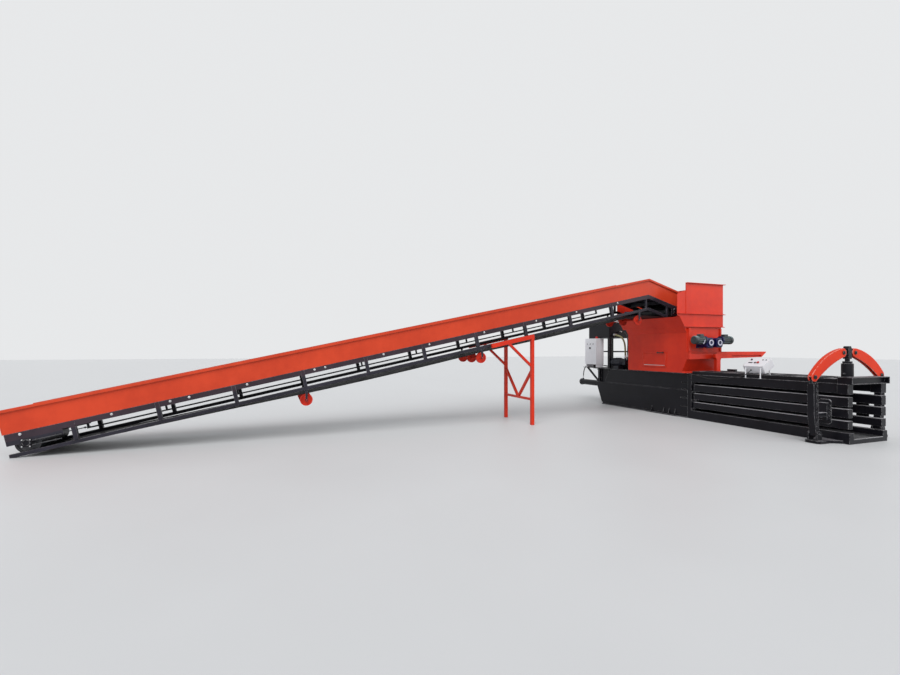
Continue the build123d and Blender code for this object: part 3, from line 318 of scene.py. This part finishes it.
# Its pale tops are partly a dusting and partly a painted reflection that top faces show at grazing
# angles.
dust_and_sheen_paint = painted(
    "dust_and_sheen_charcoal_paint", *CHARCOAL, 0.34,
    dust_and_top_sheen=1.2, dust_and_sheen_colour=(0.125, 0.120, 0.130), wear_and_highlight_colour=(0.30, 0.295, 0.305), edge_wear_and_highlight=0.85, edge=0.014,
    gleam=0.18, polish=0.12)
# Its very pale tops and edges are partly a dusting and partly a painted highlight on the bars' top
# faces and edges.
bar_paint = painted(
    "bar_paint", *CHARCOAL, 0.34,
    dust_and_top_sheen=2.2, dust_and_sheen_colour=(0.36, 0.35, 0.37), wear_and_highlight_colour=(0.34, 0.335, 0.345), edge_wear_and_highlight=0.9, edge=0.016,
    gleam=0.18, polish=0.1)
# The upper rail's plum tint is a painted reflection of the orange walls above it; the lower truss
# under the mask keeps its own bluish charcoal.
rail_paint = painted(
    "rail_paint", (0.046, 0.030, 0.040), (0.030, 0.020, 0.027), 0.38,
    dust_and_top_sheen=0.15, dust_and_sheen_colour=(0.090, 0.075, 0.085), wear_and_highlight_colour=(0.24, 0.21, 0.23), edge_wear_and_highlight=0.85, edge=0.012,
    gleam=0.2, polish=0.18, second=(lower_truss, (0.030, 0.028, 0.040)))
grey_paint = painted(
    "grey_paint", (0.76, 0.76, 0.79), (0.68, 0.68, 0.71), 0.40,
    dust_and_top_sheen=0.08, dust_and_sheen_colour=(0.62, 0.61, 0.60), wear_and_highlight_colour=(0.38, 0.38, 0.39), edge_wear_and_highlight=0.3, edge=0.003)
blue_paint = painted(
    "gear_blue_paint", (0.007, 0.010, 0.080), (0.004, 0.006, 0.040), 0.28,
    dust_and_top_sheen=0.15, dust_and_sheen_colour=(0.06, 0.07, 0.16), wear_and_highlight_colour=(0.12, 0.12, 0.18), edge_wear_and_highlight=0.4, edge=0.004)
motor_paint = painted(
    "motor_paint", (0.062, 0.074, 0.078), (0.024, 0.029, 0.032), 0.36,
    dust_and_top_sheen=0.9, dust_and_sheen_colour=(0.25, 0.36, 0.37), wear_and_highlight_colour=(0.30, 0.32, 0.33), edge_wear_and_highlight=0.4, edge=0.003)
pump_paint = painted(
    "pump_paint", (0.022, 0.024, 0.036), (0.010, 0.011, 0.017), 0.36,
    dust_and_top_sheen=0.25, dust_and_sheen_colour=(0.07, 0.07, 0.08), wear_and_highlight_colour=(0.16, 0.16, 0.17), edge_wear_and_highlight=0.5, edge=0.003,
    gleam=0.25)
white_enamel = painted(
    "white_enamel", (0.60, 0.60, 0.70), (0.46, 0.46, 0.56), 0.35,
    dust_and_top_sheen=0.1, dust_and_sheen_colour=(0.5, 0.5, 0.5), wear_and_highlight_colour=(0.3, 0.3, 0.35), edge_wear_and_highlight=0.3, edge=0.002)


# Metals, plastics and rubbers

EVEN = (1.0, 1.0, 1.0)

worn_steel = worn_metal("rubbed_steel", (0.46, 0.46, 0.48), (0.24, 0.235, 0.235), 0.36,
                        (1.0, 12.0, 12.0))
dark_steel = worn_metal("dark_steel", (0.085, 0.085, 0.09), (0.035, 0.035, 0.04), 0.45, EVEN, 0.7)
zinc = worn_metal("zinc_plate", (0.74, 0.74, 0.75), (0.54, 0.54, 0.55), 0.38, EVEN)
chrome_rod = worn_metal("hard_chrome", (0.82, 0.82, 0.84), (0.68, 0.68, 0.70), 0.12,
                        (1.0, 6.0, 6.0))
black_plastic = moulded("black_plastic", (0.022, 0.022, 0.023), (0.012, 0.012, 0.013), 0.45)
red_plastic = moulded("red_plastic", (0.60, 0.022, 0.014), (0.44, 0.015, 0.011), 0.30)
disc_plastic = moulded("disc_plastic", (0.60, 0.036, 0.018), (0.42, 0.024, 0.013), 0.45,
                       gleam=0.12)
belt_rubber = moulded("belt_rubber", (0.011, 0.011, 0.0125), (0.006, 0.006, 0.0072), 0.62,
                      grain=90.0, edge=0.004, strength=0.4, gleam=0.3)
olive_rubber = moulded("olive_hose_rubber", (0.34, 0.33, 0.15), (0.22, 0.21, 0.10), 0.5)
black_rubber = moulded("black_hose_rubber", (0.030, 0.030, 0.031), (0.016, 0.016, 0.017), 0.5)

dressing = {
    orange_paint: ["feed_chamber", "gate_guides", "hopper_hood", "inspection_hatch",
                   "conveyor_stand"],
    conveyor_orange: ["conveyor_wall_near", "conveyor_wall_far"],
    deep_orange: ["squeeze_arm_near", "squeeze_arm_far"],
    bar_paint: ["side_gate_near", "side_gate_far"],
    dust_and_sheen_paint: ["base_frame", "channel_top"],
    dark_paint: ["press_chamber", "side_panel_near", "side_panel_far", "rear_platform",
                 "main_cylinder", "ram", "squeeze_lever_near", "squeeze_lever_far",
                 "squeeze_fork", "squeeze_cylinder", "oil_tank", "tank_stand"],
    rail_paint: ["conveyor_frame_near", "conveyor_frame_far", "conveyor_bed"],
    worn_steel: ["channel_floor", "slide_gate", "rotor_near", "rotor_far"],
    dark_steel: ["head_drum", "tail_drum", "valve_block"],
    chrome_rod: ["ram_rod"],
    blue_paint: ["gearbox_near", "gearbox_far", "drive_gearmotor"],
    motor_paint: ["rotor_motor_near", "rotor_motor_far"],
    pump_paint: ["pump_motor"],
    grey_paint: ["control_desk", "cabinet_body", "cabinet_door"],
    black_plastic: ["start_button", "mode_switch", "main_switch", "desk_gland", "hatch_latch"],
    red_plastic: ["stop_button", "cabinet_beacon"],
    disc_plastic: ["disc_idler_low", "disc_idler_middle", "disc_idler_high"],
    belt_rubber: ["conveyor_belt"],
}
for material, names in dressing.items():
    for name in names:
        mesh = nodes[name].data
        mesh.materials.clear()
        mesh.materials.append(material)

for hose, material, slot in ((cable, black_rubber, "black_plastic"),
                             (suction, olive_rubber, "olive_hose"),
                             (returning, black_rubber, "black_hose"),
                             (pressing, black_rubber, "black_hose")):
    hose.data.materials.append(material)


# Hand modelling

def primitive(kind, place=(0, 0, 0), **size):
    """A new primitive, alone in the selection."""
    bpy.ops.object.select_all(action="DESELECT")
    getattr(bpy.ops.mesh, f"primitive_{kind}_add")(location=place, **size)
    return bpy.context.object


def block(size, place=(0, 0, 0), turn=0.0):
    """A box whose size is applied, so that its insets come out even."""
    ob = primitive("cube", place, size=1)
    ob.scale = size
    ob.rotation_euler = (0, 0, turn)
    bpy.ops.object.transform_apply(location=False, rotation=True, scale=True)
    return ob


def edit_faces(ob, test):
    """Edit mode with only the faces selected whose centre and normal pass the test."""
    bpy.ops.object.mode_set(mode="EDIT")
    bpy.ops.mesh.select_mode(type="FACE")
    bpy.ops.mesh.select_all(action="DESELECT")
    bpy.ops.object.mode_set(mode="OBJECT")
    for face in ob.data.polygons:
        face.select = bool(test(face.center, face.normal))
    bpy.ops.object.mode_set(mode="EDIT")


def pull(by):
    bpy.ops.mesh.extrude_region_move(TRANSFORM_OT_translate={"value": by})


def leave_edit():
    bpy.ops.object.mode_set(mode="OBJECT")


def facing_up(centre, normal):
    return normal.z > 0.9


def inset_top(ob, thickness, lift=0.0):
    """Inset the upward face, then raise or sink what is inside."""
    edit_faces(ob, facing_up)
    bpy.ops.mesh.inset(thickness=thickness)
    if lift:
        bpy.ops.transform.translate(value=(0, 0, lift))
    leave_edit()


def cut_level(heights):
    """Cut the active piece level at each height, so that bands of it can be shaped."""
    bpy.ops.object.mode_set(mode="EDIT")
    for z in heights:
        bpy.ops.mesh.select_all(action="SELECT")
        bpy.ops.mesh.bisect(plane_co=(0, 0, z), plane_no=(0, 0, 1))
    leave_edit()


def narrow(ob, test, share):
    """Draw the faces that pass the test in towards the upright axis."""
    edit_faces(ob, test)
    bpy.ops.transform.resize(value=(share, share, 1))
    leave_edit()


def round_off(ob, width, segments=2):
    """Bevel the sharp edges for good."""
    bevel = ob.modifiers.new("bevel", "BEVEL")
    bevel.width = width
    bevel.segments = segments
    bevel.limit_method = "ANGLE"
    bevel.angle_limit = math.radians(40)
    bpy.ops.object.select_all(action="DESELECT")
    ob.select_set(True)
    bpy.context.view_layer.objects.active = ob
    bpy.ops.object.modifier_apply(modifier="bevel")


def fuse(pieces):
    bpy.ops.object.select_all(action="DESELECT")
    for piece in pieces:
        piece.select_set(True)
    bpy.context.view_layer.objects.active = pieces[0]
    if len(pieces) > 1:
        bpy.ops.object.join()
    return bpy.context.object


def fit(ob, name, body, material):
    """Fix the piece in its place, dress it and let it ride."""
    bpy.ops.object.select_all(action="DESELECT")
    ob.select_set(True)
    bpy.context.view_layer.objects.active = ob
    bpy.ops.object.transform_apply(location=True, rotation=True, scale=True)
    bpy.ops.object.shade_smooth_by_angle(angle=math.radians(35))
    ob.name = name
    ob.data.materials.clear()
    ob.data.materials.append(material)
    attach(ob, body)
    return ob


def row(model, name, body, material, places):
    """Copies of one model at places with their outward directions, as one piece."""
    made = []
    for place, outward in places:
        copy = model.copy()
        copy.data = model.data.copy()
        scene.collection.objects.link(copy)
        turn = Vector(outward).to_track_quat("Z", "Y").to_matrix().to_4x4()
        copy.data.transform(Matrix.Translation(place) @ turn)
        made.append(copy)
    return fit(fuse(made), name, body, material)


def spent(model):
    bpy.data.objects.remove(model, do_unlink=True)


def hex_bolt(across):
    """Hexagon head with a chamfered top on its washer, standing on the ground plane."""
    head = primitive("cylinder", (0, 0, across * 0.38), vertices=6, radius=across * 0.58,
                     depth=across * 0.56)
    inset_top(head, across * 0.06, across * 0.07)
    washer = primitive("cylinder", (0, 0, across * 0.05), vertices=16, radius=across * 0.92,
                       depth=across * 0.1)
    inset_top(washer, across * 0.05)
    ob = fuse([head, washer])
    bpy.ops.object.transform_apply(location=True, rotation=True, scale=True)
    return ob


def flat_ring(outer, inner, height, lip=0.0012, sides=48):
    """Washer-shaped ring lying on the ground plane, with softened rims."""
    ob = primitive("circle", vertices=sides, radius=outer, fill_type="NGON")
    edit_faces(ob, lambda c, n: True)
    bpy.ops.mesh.inset(thickness=outer - inner)
    bpy.ops.mesh.delete(type="FACE")
    bpy.ops.mesh.select_all(action="SELECT")
    pull((0, 0, height))
    bpy.ops.mesh.select_all(action="SELECT")
    bpy.ops.mesh.normals_make_consistent(inside=False)
    leave_edit()
    round_off(ob, lip)
    return ob


def signal_lamp(radius, depth, rim, crown):
    """Round lamp with a raised and domed lens inside its rim."""
    ob = primitive("cylinder", (0, 0, depth / 2), vertices=24, radius=radius, depth=depth)
    edit_faces(ob, facing_up)
    bpy.ops.mesh.inset(thickness=rim)
    pull((0, 0, 0.004))
    bpy.ops.mesh.inset(thickness=crown)
    bpy.ops.transform.translate(value=(0, 0, 0.002))
    leave_edit()
    return ob


def fan_grille(radius):
    """Round guard of a motor's fan: rings on crossed bars over a dark opening."""
    pieces = []
    for k in range(1, 5):
        pieces.append(primitive("torus", (0, 0, 0.002), major_radius=radius * k / 4 - 0.002,
                                minor_radius=0.0016, major_segments=32, minor_segments=6))
    for k in range(4):
        bar = block((radius * 2 - 0.004, 0.004, 0.002), (0, 0, 0.001), math.radians(45 * k))
        edit_faces(bar, lambda c, n: abs(n.z) < 0.5 and c.length > radius * 0.9)
        bpy.ops.transform.resize(value=(1, 1, 0.6))
        leave_edit()
        pieces.append(bar)
    return fuse(pieces)


def hose_fitting(radius):
    """Union nut and grooved ferrule, from the port up along the hose."""
    nut = primitive("cylinder", (0, 0, 0.012), vertices=6, radius=radius * 1.75, depth=0.024)
    round_off(nut, 0.002)
    middle = 0.052
    ferrule = primitive("cylinder", (0, 0, middle), vertices=24, radius=radius * 1.28, depth=0.056)
    grooves = ((0.032, 0.037), (0.047, 0.052), (0.062, 0.067))
    cut_level([z for groove in grooves for z in groove])
    for low, high in grooves:
        narrow(ferrule, lambda c, n: low < c.z + middle < high and abs(n.z) < 0.5, 0.93)
    return fuse([nut, ferrule])


def flange_bearing():
    """Cast four-bolt housing with a raised hub, standing on the ground plane."""
    base = block((0.13, 0.13, 0.014), (0, 0, 0.007))
    inset_top(base, 0.012, 0.003)
    round_off(base, 0.006, 3)
    hub = primitive("cylinder", (0, 0, 0.019), vertices=32, radius=0.046, depth=0.014)
    inset_top(hub, 0.012, -0.005)
    round_off(hub, 0.002)
    return fuse([base, hub])


def take_up_screw(length=0.38, start=0.008, pitch=0.0155):
    """Coarse threaded rod with two nuts, standing on the ground plane."""
    rod = primitive("cylinder", (0, 0, length / 2), vertices=16, radius=0.010, depth=length)
    cut_level([start + pitch * k for k in range(24)])
    narrow(rod, lambda c, n: (abs(n.z) < 0.5
                              and int((c.z + length / 2 - start) / pitch) % 2 == 0), 0.82)
    pieces = [rod]
    for z in (0.05, 0.30):
        nut = primitive("cylinder", (0, 0, z), vertices=6, radius=0.018, depth=0.018)
        round_off(nut, 0.002)
        pieces.append(nut)
    ob = fuse(pieces)
    bpy.ops.object.transform_apply(location=True, rotation=True, scale=True)
    return ob


# Bolts

def conveyor_z(y, h):
    """Height of the conveyor's side at y, h above its underside line, below the peak."""
    return SLOPE * (y - FOOT_Y) + h


RAIL_BOLT_HEIGHT = 0.338
RAIL_BOLTS_Y = (-13.42, -12.25, -11.43, -11.15, -10.25, -9.11, -8.92, -7.82, -6.89, -5.68,
                -4.43, -3.38, -2.23)
COLLAR_TOP = 2.192
HOOD_FLANGE_TOP = 2.5
FORK_PIN_Z = 1.583
LEVER_PIN_Z = 1.157
PIVOT_Z = 0.15

rail_bolt = hex_bolt(0.022)
for side, face, out in (("near", -0.560, 1), ("far", -1.730, -1)):
    row(rail_bolt, f"rail_bolts_{side}", "machine", zinc,
        [((face, y, conveyor_z(y, RAIL_BOLT_HEIGHT)), (out, 0, 0)) for y in RAIL_BOLTS_Y])
spent(rail_bolt)

collar_bolt = hex_bolt(0.013)
row(collar_bolt, "collar_bolts", "machine", orange_paint,
    [((-0.085, -0.56 + 0.186 * k, COLLAR_TOP), (0, 0, 1)) for k in range(7)]
    + [((-2.1 + 0.2 * k, 0.615, COLLAR_TOP), (0, 0, 1)) for k in range(11)])
row(collar_bolt, "hood_bolts", "machine", orange_paint,
    [((-0.08, -0.80 + 0.2 * k, HOOD_FLANGE_TOP), (0, 0, 1)) for k in range(8)]
    + [((-2.1 + 0.2 * k, 0.62, HOOD_FLANGE_TOP), (0, 0, 1)) for k in range(11)])
spent(collar_bolt)

bolt = hex_bolt(0.019)
row(bolt, "squeeze_flange_bolts", "machine", zinc,
    [((x, y, 1.14), (0, 0, 1)) for x in (2.805, 3.035) for y in (-0.12, 0.12)])
row(bolt, "fork_pin_bolts", "fork", dark_steel,
    [((x, y, FORK_PIN_Z), (out, 0, 0)) for x, out in ((2.97, 1), (2.87, -1))
     for y in (-0.168, 0.168)])
for side, y in (("near", -0.95), ("far", 0.95)):
    row(bolt, f"lever_pin_bolts_{side}", f"lever_{side}", dark_steel,
        [((x, y, LEVER_PIN_Z), (out, 0, 0)) for x, out in ((2.972, 1), (2.868, -1))])
row(bolt, "pivot_pin_bolts", "machine", dark_steel,
    [((x, y, PIVOT_Z), (out, 0, 0)) for x, out in ((3.01, 1), (2.83, -1))
     for y in (-0.905, 0.905)])
spent(bolt)


# Rotor drives

GEAR_FACE_X = 0.1995
ROTOR_Z = 1.8
MOTOR_X, MOTOR_Z = 0.11, 1.862
SCREW_CIRCLE = 0.081
PLATE_LEAN = math.radians(27)
PLATE_RADIUS = 0.099

small_bolt = hex_bolt(0.011)
cover = flat_ring(0.070, 0.043, 0.005)
for side, y in (("near", -0.14), ("far", 0.14)):
    row(cover, f"gear_cover_ring_{side}", "machine", white_enamel,
        [((GEAR_FACE_X, y, ROTOR_Z), (1, 0, 0))])
    turns = [math.radians(60 * k + 30) for k in range(6)]
    row(small_bolt, f"gear_cover_screws_{side}", "machine", blue_paint,
        [((GEAR_FACE_X, y + SCREW_CIRCLE * math.cos(a), ROTOR_Z + SCREW_CIRCLE * math.sin(a)),
          (1, 0, 0)) for a in turns])
spent(cover)

grille = fan_grille(0.066)
for side, y, out in (("near", -0.6, -1), ("far", 0.6, 1)):
    row(grille, f"motor_fan_guard_{side}", "machine", pump_paint,
        [((MOTOR_X, y, MOTOR_Z), (0, out, 0))])
spent(grille)

plate = block((0.034, 0.11, 0.002))
inset_top(plate, 0.003, -0.0006)
plate_out = (math.cos(PLATE_LEAN), 0, -math.sin(PLATE_LEAN))
row(plate, "motor_blank_plate", "machine", white_enamel,
    [((MOTOR_X + PLATE_RADIUS * plate_out[0], -0.36, MOTOR_Z + PLATE_RADIUS * plate_out[2]),
      plate_out)])
spent(plate)


# Hose fittings

for name, radius, places in (
        ("suction_fittings", 0.025, [((-2.988, -0.3, 2.06), (1, 0, 0)),
                                     ((-2.51, -0.3, 1.39), (0, 0, 1))]),
        ("return_fittings", 0.016, [((-2.988, -0.08, 2.15), (1, 0, 0)),
                                    ((-2.65, -0.1, 1.40), (0, 0, 1))]),
        ("cylinder_fittings", 0.015, [((-4.88, 0, 0.67), (0, 0, 1)),
                                      ((-2.765, -0.1, 1.15), (-1, 0, 0))])):
    fitting = hose_fitting(radius)
    row(fitting, name, "machine", zinc, places)
    spent(fitting)


# Bearings of the conveyor's drums: face, centre and the side they look to

DRUM_BEARINGS = ((-0.556, -13.34, 0.215, 1), (-1.734, -13.34, 0.215, -1),
                 (-0.554, -0.47235, 2.59024, 1))

bearing = flange_bearing()
row(bearing, "drum_bearings", "machine", dark_paint,
    [((x, y, z), (out, 0, 0)) for x, y, z, out in DRUM_BEARINGS])
spent(bearing)
row(small_bolt, "bearing_bolts", "machine", zinc,
    [((x + out * 0.016, y + a, z + b), (out, 0, 0)) for x, y, z, out in DRUM_BEARINGS
     for a in (-0.05, 0.05) for b in (-0.05, 0.05)])


# Belt take-up screws beside the tail drum

TAKE_UP_Y = -13.265

take_up = take_up_screw()
uphill = (0, math.cos(math.atan(SLOPE)), math.sin(math.atan(SLOPE)))
for side, x in (("near", -0.548), ("far", -1.742)):
    row(take_up, f"take_up_screws_{side}", "machine", dark_steel,
        [((x, TAKE_UP_Y, conveyor_z(TAKE_UP_Y, h)), uphill) for h in (0.135, 0.205)])
spent(take_up)


# Hatch hinge and cabinet lamps

leaf = block((0.70, 0.012, 0.003), (0, 0, 0.0015))
inset_top(leaf, 0.002, 0.0008)
row(leaf, "hatch_hinge_leaf", "hatch", zinc, [((-1.14, -0.57, 1.2335), (0, -1, 0))])
spent(leaf)
lens = signal_lamp(0.014, 0.010, 0.003, 0.004)
row(lens, "cabinet_lamps", "cabinet_door", black_plastic,
    [((x, -0.606, 1.8), (0, -1, 0)) for x in (-3.86, -3.72, -3.58)])
spent(lens)


# Control desk

DESK_TILT = math.radians(31.6)
DESK_CENTRE = Vector((1.475, -0.366, 1.374))
DESK_OUT = Vector((0, -math.sin(DESK_TILT), math.cos(DESK_TILT)))
DESK_UP = Vector((0, math.cos(DESK_TILT), math.sin(DESK_TILT)))


def on_desk(x, y):
    """Place on the desk's face, x along it and y up its slope from the centre."""
    return (DESK_CENTRE + Vector((x, 0, 0)) + DESK_UP * y, DESK_OUT)


lamp_body = signal_lamp(0.013, 0.008, 0.002, 0.003)
row(lamp_body, "desk_lamps", "machine", black_plastic,
    [on_desk(x, 0.085) for x in (0.081, 0.150)])
spent(lamp_body)
counter = block((0.086, 0.030, 0.006), (0, 0, 0.003))
inset_top(counter, 0.004, -0.002)
round_off(counter, 0.001)
row(counter, "desk_display", "machine", black_plastic,
    [on_desk(-0.125, -0.025)])
spent(counter)
collar = flat_ring(0.024, 0.0145, 0.003, 0.0008, 32)
row(collar, "desk_button_collars", "machine", zinc,
    [on_desk(x, y) for x, y in ((0.045, -0.025), (-0.022, -0.025), (-0.16, 0.085))])
spent(collar)
row(small_bolt, "desk_screws", "machine", zinc,
    [on_desk(x, y) for x in (-0.198, 0.198) for y in (-0.137, 0.137)])
spent(small_bolt)


# Floor, backdrop and light

floor = primitive("plane", (0, 0, -0.001), size=160)
floor.name = "floor"
paving = Finish("pale_floor")
shade = paving.noise(0.35, 3.0)
floor.data.materials.append(paving.surface(
    Base_Color=paving.mix(shade, (0.56, 0.565, 0.57), (0.62, 0.625, 0.63)),
    Roughness=(0.5 + (shade - 0.5) * 0.2)))

# The sky gives light, and what the camera or a gloss sees of it is a plain pale wall
world = bpy.data.worlds.new("studio")
scene.world = world
world.use_nodes = True
tree = world.node_tree
sky = tree.nodes["Background"]
sky.inputs[0].default_value = (0.93, 0.96, 1.0, 1)
sky.inputs[1].default_value = 0.55
seen = tree.nodes.new("ShaderNodeBackground")
seen.inputs[0].default_value = (0.80, 0.81, 0.82, 1)
seen.inputs[1].default_value = 1.0
path = tree.nodes.new("ShaderNodeLightPath")
mirrored = tree.nodes.new("ShaderNodeMath")
mirrored.operation = "ADD"
through = tree.nodes.new("ShaderNodeMath")
through.operation = "ADD"
through.use_clamp = True
tree.links.new(path.outputs["Is Camera Ray"], mirrored.inputs[0])
tree.links.new(path.outputs["Is Glossy Ray"], mirrored.inputs[1])
tree.links.new(mirrored.outputs[0], through.inputs[0])
tree.links.new(path.outputs["Is Transmission Ray"], through.inputs[1])
either = tree.nodes.new("ShaderNodeMixShader")
tree.links.new(through.outputs[0], either.inputs[0])
tree.links.new(sky.outputs[0], either.inputs[1])
tree.links.new(seen.outputs[0], either.inputs[2])
tree.links.new(either.outputs[0], tree.nodes["World Output"].inputs[0])

for name, strength, width, direction in (("hall_light", 2.3, 50, (-0.72, 0.42, -0.9)),
                                         ("gate_light", 0.5, 28, (-0.66, -0.75, -0.31))):
    lamp = bpy.data.lights.new(name, "SUN")
    lamp.energy = strength
    lamp.angle = math.radians(width)
    lit = bpy.data.objects.new(name, lamp)
    scene.collection.objects.link(lit)
    lit.rotation_euler = Vector(direction).to_track_quat("-Z", "Y").to_euler()
